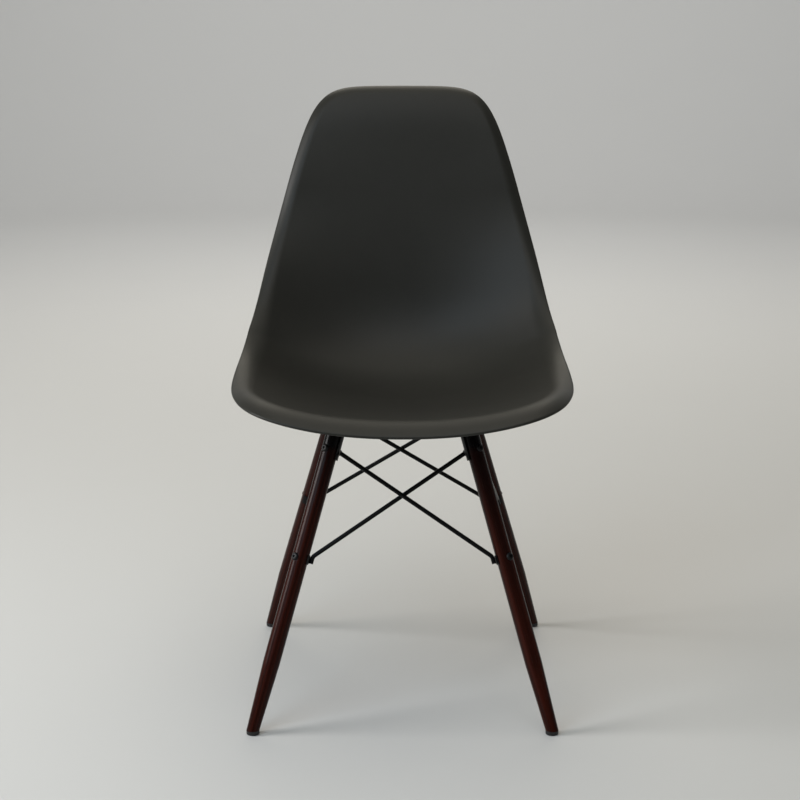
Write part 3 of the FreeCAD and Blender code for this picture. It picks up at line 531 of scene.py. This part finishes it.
def shell_plastic(colours):
    """Matt moulded plastic: a fine even grain from the mould, faint clouds in its colour and its
    gloss, a few hair scratches where people sit and a paler rim, which is partly rubbing and
    partly a painted highlight along the rolled rim."""
    finish = Finish("shell_plastic")
    base, worn_and_highlight = rgb(colours.shell), rgb(colours.shell_worn_and_highlight)
    clouds = finish.noise(7.0, detail=4.0, roughness=0.6)
    flecks = finish.noise(900.0, detail=2.0, roughness=0.6)
    dust = finish.noise(60.0, detail=6.0, roughness=0.72).between(0.56, 0.78)
    rim = finish.read("ShaderNodeAttribute", {"attribute_name": "rim_nearness"}, None, "Fac")
    seat_rub = finish.read("ShaderNodeAttribute", {"attribute_name": "seat_nearness"}, None, "Fac")
    scratch_place = finish.stretched((34.0, 620.0, 620.0))
    scratches = finish.noise(1.0, detail=3.0, roughness=0.5, distortion=0.6, place=scratch_place)
    scratches = scratches.between(0.66, 0.72) * seat_rub
    shade = finish.blend(clouds.between(0.3, 0.7) * 0.55, scaled(base, 0.92), scaled(base, 1.07))
    shade = finish.blend(flecks.between(0.35, 0.75) * 0.16, shade, scaled(worn_and_highlight, 1.15))
    # The rim blend is partly rubbing and partly a painted highlight along the rolled rim.
    shade = finish.blend(rim * 0.45 + dust * 0.08 + scratches * 0.10, shade, worn_and_highlight)
    finish.set(Base_Color=shade,
               Roughness=0.41 + clouds * 0.06 - rim * 0.04 - seat_rub * 0.03 + scratches * 0.08
               + dust * 0.05,
               Specular_IOR_Level=0.19, IOR=1.49)
    grain = finish.noise(1150.0, detail=2.0, roughness=0.55) * 0.7 + finish.specks(1500.0) * 0.3
    finish.bump(grain - scratches * 0.25, depth=0.055 * MILLIMETRE)
    return finish.material


def stained_wood(name, colours, place, turn, shift):
    """Dark stained hardwood under satin lacquer. The pattern runs along the leg: growth rings
    round a pith beside the leg, drawn out by noise, streaks of fibre, and short dark pores.
    Towards the seat the wood is darkened to the pore colour as painted shade of the shell's
    shadow, and the tops of the legs are black."""
    finish = Finish(name)
    own = finish.node("ShaderNodeMapping", {"vector_type": "TEXTURE"}, {
        "Vector": finish.place, "Location": place, "Rotation": turn}).outputs[0]
    own = finish.node("ShaderNodeVectorMath", {"operation": "ADD"}, {0: own, 1: shift}).outputs[0]
    slow = finish.stretched((1.0, 1.0, 0.07), own)
    slower = finish.stretched((1.0, 1.0, 0.025), own)
    bend = finish.node("ShaderNodeTexNoise", None, {"Vector": slow, "Scale": 42.0, "Detail": 3.0})
    bend = finish.node("ShaderNodeVectorMath", {"operation": "SCALE"},
                       {0: bend.outputs["Color"], 3: 0.006}).outputs[0]
    warped = finish.node("ShaderNodeVectorMath", {"operation": "ADD"}, {0: slow, 1: bend})
    rings = finish.read("ShaderNodeTexWave", {"wave_type": "RINGS", "rings_direction": "Z"}, {
        "Vector": warped.outputs[0], "Scale": 62.0, "Distortion": 2.2, "Detail": 3.0,
        "Detail Scale": 1.6})
    fibre = finish.noise(900.0, detail=3.0, roughness=0.65, distortion=0.2, place=slower)
    pores = finish.specks(1050.0, finish.stretched((1.0, 1.0, 0.045), own))
    pores = (1 - pores.between(0.10, 0.34)) * fibre.between(0.42, 0.6)
    clouds = finish.noise(16.0, detail=3.0, roughness=0.5, place=slow)
    wood, pale, pore_and_shadow = rgb(colours.wood), rgb(colours.wood_pale), rgb(colours.wood_pore_and_shadow)
    shade = finish.blend(rings * 0.55 + (fibre - 0.5) * 0.7, wood, pale)
    shade = finish.blend(clouds.between(0.35, 0.75) * 0.45, shade, scaled(wood, 0.55))
    shade = finish.blend(pores * 0.85, shade, pore_and_shadow)
    height = finish.read("ShaderNodeSeparateXYZ", None, {0: finish.place}, "Z")
    # Painted shade: from the first pair of heights up, the wood is blended towards the pore colour,
    # standing in for the shell's shadow on the legs' tops.
    painted_shell_shadow = height.between(colours.shell_shadow_start, colours.shell_shadow_full)
    blackening = height.between(colours.black_start, colours.black_full)
    shade = finish.blend(painted_shell_shadow * 0.6, shade, pore_and_shadow)
    shade = finish.blend(blackening * 0.95, shade, rgb(colours.steel))
    finish.set(Base_Color=shade, Roughness=0.26 + pores * 0.14 + (fibre - 0.5) * 0.10,
               Specular_IOR_Level=0.10, Coat_Weight=0.04 - pores * 0.03, Coat_Roughness=0.22,
               Coat_IOR=1.4)
    finish.bump(fibre * 0.4 - pores * 0.6, depth=0.05 * MILLIMETRE)
    return finish.material


def coated_steel(colours):
    """Black baked coating on steel: a soft orange-peel relief with dust in its hollows."""
    finish = Finish("black_steel")
    base = rgb(colours.steel)
    peel = finish.noise(520.0, detail=2.0, roughness=0.5)
    fine = finish.noise(2400.0, detail=2.0, roughness=0.5)
    clouds = finish.noise(24.0, detail=3.0, roughness=0.55)
    shade = finish.blend(clouds.between(0.3, 0.7) * 0.6, scaled(base, 0.82), scaled(base, 1.2))
    shade = finish.blend(fine.between(0.6, 0.75) * 0.12, shade, scaled(base, 2.6))
    finish.set(Base_Color=shade, Roughness=0.29 + clouds * 0.08 + (fine - 0.5) * 0.06,
               Specular_IOR_Level=0.14)
    finish.bump(peel * 0.8 + fine * 0.2, depth=0.03 * MILLIMETRE)
    return finish.material


def blackened_steel(colours):
    """Blackened fasteners: dark oxide that is rubbed to bare metal in small patches."""
    finish = Finish("black_fasteners")
    base = rgb(colours.fastener)
    clouds = finish.noise(160.0, detail=4.0, roughness=0.6)
    rubbed = finish.noise(420.0, detail=3.0, roughness=0.7).between(0.60, 0.72)
    shade = finish.blend(clouds.between(0.3, 0.7), scaled(base, 0.7), scaled(base, 1.2))
    shade = finish.blend(rubbed * 0.35, shade, scaled(base, 4.0))
    finish.set(Base_Color=shade, Roughness=0.36 + clouds * 0.12, Metallic=0.25 + rubbed * 0.4,
               Specular_IOR_Level=0.25)
    finish.bump(finish.noise(1900.0, detail=2.0, roughness=0.5), depth=0.012 * MILLIMETRE)
    return finish.material


def glide_plastic(colours):
    """Black plastic that is scuffed grey towards the floor."""
    finish = Finish("glide_plastic")
    base = rgb(colours.glide)
    height = finish.read("ShaderNodeSeparateXYZ", None, {0: finish.place}, "Z")
    scuff_place = finish.stretched((260.0, 260.0, 1500.0))
    scuffs = finish.noise(1.0, detail=4.0, roughness=0.65, distortion=0.4, place=scuff_place)
    scuffs = scuffs.between(0.46, 0.7) * (1 - height.between(0.0, 2.4 * MILLIMETRE))
    grain = finish.noise(1300.0, detail=2.0, roughness=0.5)
    shade = finish.blend(grain * 0.3, scaled(base, 0.8), scaled(base, 1.3))
    shade = finish.blend(scuffs * 0.6, shade, scaled(base, 7.0))
    finish.set(Base_Color=shade, Roughness=0.46 + scuffs * 0.25 + grain * 0.06)
    finish.bump(grain * 0.5 - scuffs * 0.5, depth=0.04 * MILLIMETRE)
    return finish.material


def black_rubber(colours):
    """Dull rubber with a dusty bloom and a pitted skin."""
    finish = Finish("rubber")
    base = rgb(colours.rubber)
    bloom = finish.noise(90.0, detail=4.0, roughness=0.6).between(0.4, 0.75)
    pits = finish.specks(1400.0)
    shade = finish.blend(bloom * 0.5, scaled(base, 0.85), scaled(base, 1.9))
    finish.set(Base_Color=shade, Roughness=0.78 + bloom * 0.14, Specular_IOR_Level=0.3)
    finish.bump(pits, depth=0.05 * MILLIMETRE)
    return finish.material


def turned_metal(name, base, dullness):
    """Bare turned metal: fine rings from the lathe, and dull clouds."""
    finish = Finish(name)
    clouds = finish.noise(210.0, detail=4.0, roughness=0.6)
    line_place = finish.stretched((90.0, 90.0, 5200.0))
    lines = finish.noise(1.0, detail=2.0, roughness=0.5, place=line_place)
    shade = finish.blend(clouds.between(0.3, 0.72) * 0.7, scaled(base, 0.62), base)
    finish.set(Base_Color=shade, Metallic=1.0, Roughness=dullness + clouds * 0.16)
    finish.bump(lines, depth=0.01 * MILLIMETRE)
    return finish.material


def pale_floor(shade):
    """Plain pale floor with a barely cloudy tone."""
    finish = Finish("pale_floor")
    clouds = finish.noise(1.3, detail=4.0, roughness=0.6)
    finish.set(Base_Color=finish.blend(clouds, scaled(shade, 0.985), scaled(shade, 1.015)),
               Roughness=0.75, Specular_IOR_Level=0.2)
    return finish.material


# Operators

class MakeShell(bpy.types.Operator):
    """Makes the moulded shell with its rounded rim, and the bosses under its seat"""

    bl_idname = "shell_chair.make_shell"
    bl_label = "Make Shell"

    COLUMNS = 150
    ROWS = 220
    EVEN_SHARE = 0.62
    RIM_STEPS = 9
    # Width of the paler rim: partly rubbing, partly a painted highlight.
    RIM_WEAR_AND_HIGHLIGHT_WIDTH = 9 * MILLIMETRE
    # Where people sit, as an ellipse in the form's two numbers, and how far out it fades.
    SEAT_ALONG = -0.42
    SEAT_HALF_ACROSS = 0.75
    SEAT_HALF_ALONG = 0.42
    SEAT_FADE = 1.15
    BOSS_STEPS = 64
    FILLET_STEPS = 9
    HOLE_RADIUS = 4.6 * MILLIMETRE
    HOLE_BEYOND = 1 * MILLIMETRE
    BOSS_CHAMFER = 0.5 * MILLIMETRE
    POINT = 1e-5

    def execute(self, context):
        colours = context.scene.chair_finishes
        form = ShellForm(context.scene.chair_shell)
        material = shell_plastic(colours)
        shell = self.make_skin(form)
        bosses = self.make_bosses(form)
        for piece in (shell, bosses):
            piece.data.materials.append(material)
            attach(piece, "root")
            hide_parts("seat_shell")
        return {"FINISHED"}

    def eased(self, count):
        """Numbers from -1 to 1 that lie closer together towards both ends."""
        even = np.linspace(-1, 1, count)
        return self.EVEN_SHARE * even + (1 - self.EVEN_SHARE) * np.sin(even * math.pi / 2)

    def make_skin(self, form):
        """The top surface on a grid, the same grid lowered by the wall along its normals, and a
        half round between their borders: centre plus half the wall times the cosine of a turn
        along the normal and its sine outwards."""
        rows, columns = np.meshgrid(self.eased(self.ROWS), self.eased(self.COLUMNS), indexing="ij")
        across, along = form.spread(columns, rows)
        half_wall = form.sizes.wall / 2
        across, along = form.drawn_in(across, along, half_wall)
        top = form.point(across, along)
        upward = form.upward(across, along)
        under = top - 2 * half_wall * upward
        numbers = np.arange(across.size).reshape(across.shape)
        border = np.concatenate([numbers[0, :-1], numbers[:-1, -1],
                                 numbers[-1, :0:-1], numbers[:0:-1, 0]])
        edge, normal = top.reshape(-1, 3)[border], upward.reshape(-1, 3)[border]
        ahead = np.roll(edge, -1, axis=0) - np.roll(edge, 1, axis=0)
        outward = np.cross(ahead, normal)
        outward /= np.linalg.norm(outward, axis=-1, keepdims=True)
        turns = np.linspace(0, math.pi, self.RIM_STEPS + 1)[1:-1, None, None]
        rim = edge + half_wall * ((np.cos(turns) - 1) * normal + np.sin(turns) * outward)
        count = across.size
        rim_numbers = np.vstack([border, 2 * count + np.arange(rim.shape[0] * border.size)
                                 .reshape(rim.shape[0], -1), count + border])
        rim_numbers = np.hstack([rim_numbers, rim_numbers[:, :1]])
        faces = [sheet_quads(numbers), sheet_quads(numbers + count)[:, ::-1],
                 sheet_quads(rim_numbers)[:, ::-1]]
        shell = mesh_object("shell", np.vstack([top.reshape(-1, 3), under.reshape(-1, 3),
                                                rim.reshape(-1, 3)]), faces)
        # Mask of the paler rim: partly rubbing, partly a painted highlight.
        nearness = np.clip(1 - form.to_edge(across, along) / self.RIM_WEAR_AND_HIGHLIGHT_WIDTH, 0, 1).ravel()
        rim_share = np.ones(rim.shape[0] * border.size)
        wear(shell, "rim_nearness", np.concatenate([nearness, nearness, rim_share]))
        from_seat = np.hypot(across / self.SEAT_HALF_ACROSS,
                             (along - self.SEAT_ALONG) / self.SEAT_HALF_ALONG)
        seat = np.clip(self.SEAT_FADE - from_seat, 0, 1).ravel()
        wear(shell, "seat_nearness", np.concatenate([seat, 0 * seat, 0 * rim_share]))
        return shell

    def make_bosses(self, form):
        """One boss for each of the four threaded inserts, all in one mesh."""
        inserts = node_points("threaded_inserts")
        middle = (inserts.min(axis=0) + inserts.max(axis=0)) / 2
        bottom = inserts[:, 2].min()
        roof = inserts[:, 2].max() + self.HOLE_BEYOND
        vertices, faces, start = [], [], 0
        for side_x in (-1, 1):
            for side_y in (-1, 1):
                own = inserts[((inserts[:, 0] - middle[0]) * side_x > 0)
                              & ((inserts[:, 1] - middle[1]) * side_y > 0)]
                centre = (own.min(axis=0) + own.max(axis=0)) / 2
                points = self.boss_points(form, centre, bottom, roof)
                numbers = start + np.arange(points[..., 0].size).reshape(points.shape[:2])
                numbers = np.hstack([numbers, numbers[:, :1]])
                vertices.append(points.reshape(-1, 3))
                faces.append(sheet_quads(numbers))
                start += points[..., 0].size
        bosses = mesh_object("shell_bosses", np.vstack(vertices), faces)
        wear(bosses, "rim_nearness", np.zeros(start))
        wear(bosses, "seat_nearness", np.zeros(start))
        return bosses

    def boss_points(self, form, centre, bottom, roof):
        """A profile turned about the screw: across the hole's roof and down the hole, round the
        flat bottom, up the side and out in a fillet, then back over the screw inside the wall.
        The fillet and the last ring take their heights from the shell's underside over them."""
        wall, radius = form.sizes.wall, form.sizes.boss_dia / 2
        fillet = form.sizes.boss_fillet
        bend = np.linspace(0, math.pi / 2, self.FILLET_STEPS)
        radii = np.concatenate([
            [self.POINT, self.HOLE_RADIUS, self.HOLE_RADIUS, radius - self.BOSS_CHAMFER, radius,
             radius], radius + fillet * (1 - np.cos(bend)), [self.POINT]])
        turn = np.linspace(0, 2 * math.pi, self.BOSS_STEPS, endpoint=False)
        x = centre[0] + radii[:, None] * np.cos(turn)
        y = centre[1] + radii[:, None] * np.sin(turn)
        shell_height = form.underside_height(x, y)
        z = np.empty_like(x)
        z[0:2] = roof
        z[2:4] = bottom
        z[4] = bottom + self.BOSS_CHAMFER
        z[5] = shell_height[5] - fillet
        z[6:-1] = shell_height[6:-1] - fillet * (1 - np.sin(bend))[:, None]
        z[-1] = shell_height[-1] + wall / 2
        return np.stack([x, y, z], axis=-1)


class FinishLegs(bpy.types.Operator):
    """Gives each wooden leg stained wood whose grain runs along it"""

    bl_idname = "shell_chair.finish_legs"
    bl_label = "Finish Legs"

    # Place of the first leg in the wood's pattern, and the step to each next one, in metres.
    FIRST_CUT = np.array((0.009, 0.006, 0.0))
    NEXT_CUT = np.array((-0.004, 0.003, 0.31))

    def execute(self, context):
        for index, corner in enumerate(CORNERS):
            points = node_points("leg_" + corner)
            place = points.mean(axis=0)
            _, _, directions = np.linalg.svd(points - place, full_matrices=False)
            along = Vector(directions[0] * math.copysign(1, directions[0][2]))
            turn = along.to_track_quat("Z", "Y").to_euler()
            shift = self.FIRST_CUT + index * self.NEXT_CUT
            material = stained_wood("stained_wood_" + corner, context.scene.chair_finishes,
                                    tuple(place), tuple(turn), tuple(shift))
            dress(["leg_" + corner], material)
        return {"FINISHED"}


class FinishSteel(bpy.types.Operator):
    """Gives the rods, struts, brackets, saddles and tabs their black coating"""

    bl_idname = "shell_chair.finish_steel"
    bl_label = "Finish Steel Base"

    def execute(self, context):
        names = ["base_rod_a", "base_rod_b"]
        names += [f"strut_{side}_{letter}" for side in SIDES for letter in "ab"]
        for kind in ("mount_tab", "top_bracket", "lower_saddle"):
            names += [f"{kind}_{corner}" for corner in CORNERS]
        dress(names, coated_steel(context.scene.chair_finishes))
        return {"FINISHED"}


class FinishFasteners(bpy.types.Operator):
    """Gives the bolts, screws, washers, nuts, inserts and nails their metals"""

    bl_idname = "shell_chair.finish_fasteners"
    bl_label = "Finish Fasteners"

    def execute(self, context):
        colours = context.scene.chair_finishes
        dress(["upper_leg_bolts", "lower_leg_bolts", "upper_leg_nuts", "lower_leg_nuts",
               "seat_screws", "seat_washers"], blackened_steel(colours))
        dress(["threaded_inserts"], turned_metal("brass", rgb(colours.brass), 0.28))
        dress(["glide_nails"], turned_metal("bright_steel", rgb(colours.bright_steel), 0.3))
        return {"FINISHED"}


class FinishSoftParts(bpy.types.Operator):
    """Gives the foot glides their plastic and the spacer pads their rubber"""

    bl_idname = "shell_chair.finish_soft_parts"
    bl_label = "Finish Glides and Pads"

    def execute(self, context):
        colours = context.scene.chair_finishes
        dress(["glide_" + corner for corner in CORNERS], glide_plastic(colours))
        dress(["spacer_pad_" + corner for corner in CORNERS], black_rubber(colours))
        return {"FINISHED"}


class MakeStage(bpy.types.Operator):
    """Makes the pale floor with its backdrop, the lamps and the camera"""

    bl_idname = "shell_chair.make_stage"
    bl_label = "Make Stage"

    TURN_STEPS = 96
    SWEEP_STEPS = 24
    INNER_RINGS = (1e-4, 1.0, 2.5)
    SENSOR_WIDTH = 36.0
    FAR_CLIP = 100.0
    CHAIR_MIDDLE = (0, 0, 0.42)
    BACKDROP_FOOT = (0, 5.8, 0.3)
    COOL = (0.66, 0.83, 1.0)
    WARM = (1.0, 0.94, 0.80)
    SKY = (0.96, 0.98, 1.0, 1.0)
    PLAIN = (1.0, 1.0, 1.0)
    # Each lamp's place, what it faces, its width in metres and its tint.
    LAMPS = {
        "left_lamp": ((-2.9, -0.4, 1.7), CHAIR_MIDDLE, 1.6, PLAIN),
        "key_lamp": ((-2.0, -2.6, 2.9), CHAIR_MIDDLE, 2.6, COOL),
        "front_lamp": ((0, -1.6, 3.2), CHAIR_MIDDLE, 2.0, PLAIN),
        "overhead_lamp": ((0.3, 0.2, 3.3), CHAIR_MIDDLE, 2.8, WARM),
        "rear_lamp": ((0, 2.6, 2.8), CHAIR_MIDDLE, 2.4, WARM),
        "backdrop_lamp": ((0, 3.6, 3.1), BACKDROP_FOOT, 3.0, PLAIN),
    }

    def execute(self, context):
        settings = context.scene.chair_stage
        self.make_floor(settings)
        self.light_sky(context.scene, settings)
        for name, (place, target, width, tint) in self.LAMPS.items():
            self.add_lamp(name, place, Vector(target), width, getattr(settings, name), tint)
        self.add_camera(context.scene, settings)
        context.scene.view_settings.view_transform = "Standard"
        return {"FINISHED"}

    def make_floor(self, settings):
        """A disc whose border sweeps up into a wall: its profile of radius and height is a level
        run, a quarter circle and an upright run, turned about the middle."""
        sweep = settings.sweep
        bend = np.linspace(0, math.pi / 2, self.SWEEP_STEPS)
        radii = np.concatenate([self.INNER_RINGS, settings.floor_radius + sweep * np.sin(bend),
                                [settings.floor_radius + sweep]])
        heights = np.concatenate([np.zeros(len(self.INNER_RINGS)), sweep * (1 - np.cos(bend)),
                                  [settings.wall_height]])
        turn = np.linspace(0, 2 * math.pi, self.TURN_STEPS, endpoint=False)
        vertices = np.stack([radii[:, None] * np.cos(turn), radii[:, None] * np.sin(turn),
                             np.broadcast_to(heights[:, None], (len(radii), len(turn)))], axis=-1)
        numbers = np.arange(len(radii) * len(turn)).reshape(len(radii), len(turn))
        numbers = np.hstack([numbers, numbers[:, :1]])
        floor = mesh_object("floor", vertices, [sheet_quads(numbers)[:, ::-1]])
        floor.data.materials.append(pale_floor(rgb(settings.floor)))
        return floor

    def light_sky(self, scene, settings):
        world = bpy.data.worlds.new("studio")
        scene.world = world
        world.use_nodes = True
        background = world.node_tree.nodes["Background"]
        background.inputs["Color"].default_value = self.SKY
        background.inputs["Strength"].default_value = settings.sky

    def add_lamp(self, name, place, target, width, power, shade):
        lamp = bpy.data.lights.new(name, "AREA")
        lamp.shape = "DISK"
        lamp.size = width
        lamp.energy = power
        lamp.color = shade
        made = bpy.data.objects.new(name, lamp)
        made.location = place
        made.rotation_euler = (target - Vector(place)).to_track_quat("-Z", "Y").to_euler()
        made.visible_camera = False
        bpy.context.scene.collection.objects.link(made)

    def add_camera(self, scene, settings):
        camera = bpy.data.cameras.new("camera")
        camera.sensor_width = self.SENSOR_WIDTH
        camera.lens = camera.sensor_width * settings.focal_pixels / PHOTO_PIXELS
        camera.shift_y = (settings.middle_row - PHOTO_PIXELS / 2) / PHOTO_PIXELS
        camera.clip_end = self.FAR_CLIP
        made = bpy.data.objects.new("camera", camera)
        made.location = (settings.camera_x, settings.camera_y, settings.camera_z)
        made.rotation_euler = (math.pi / 2 - settings.pitch, 0, 0)
        scene.collection.objects.link(made)
        scene.camera = made


class ShellChairPanel(bpy.types.Panel):
    """The chair's sizes, colours and steps, in the 3D view's sidebar"""

    bl_idname = "VIEW3D_PT_shell_chair"
    bl_label = "Shell Chair"
    bl_space_type = "VIEW_3D"
    bl_region_type = "UI"
    bl_category = "Shell Chair"

    def draw(self, context):
        scene = context.scene
        for operator in OPERATORS:
            self.layout.operator(operator.bl_idname)
        for group in (scene.chair_shell, scene.chair_finishes, scene.chair_stage):
            box = self.layout.box()
            for field in group.__annotations__:
                box.prop(group, field)


GROUPS = {
    "chair_shell": ShellSettings,
    "chair_finishes": FinishSettings,
    "chair_stage": StageSettings,
}
OPERATORS = (MakeShell, FinishLegs, FinishSteel, FinishFasteners, FinishSoftParts, MakeStage)


def register():
    for name, group in GROUPS.items():
        bpy.utils.register_class(group)
        setattr(bpy.types.Scene, name, bpy.props.PointerProperty(type=group))
    for operator in OPERATORS:
        bpy.utils.register_class(operator)
    bpy.utils.register_class(ShellChairPanel)


def unregister():
    bpy.utils.unregister_class(ShellChairPanel)
    for operator in reversed(OPERATORS):
        bpy.utils.unregister_class(operator)
    for name, group in reversed(GROUPS.items()):
        delattr(bpy.types.Scene, name)
        bpy.utils.unregister_class(group)


def main():
    """Registers the add-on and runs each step."""
    register()
    for operator in OPERATORS:
        step = getattr(bpy.ops.shell_chair, operator.bl_idname.split(".")[1])
        if step() != {"FINISHED"}:
            raise RuntimeError(operator.bl_label + " did not finish")


if __name__ == "__main__":
    main()
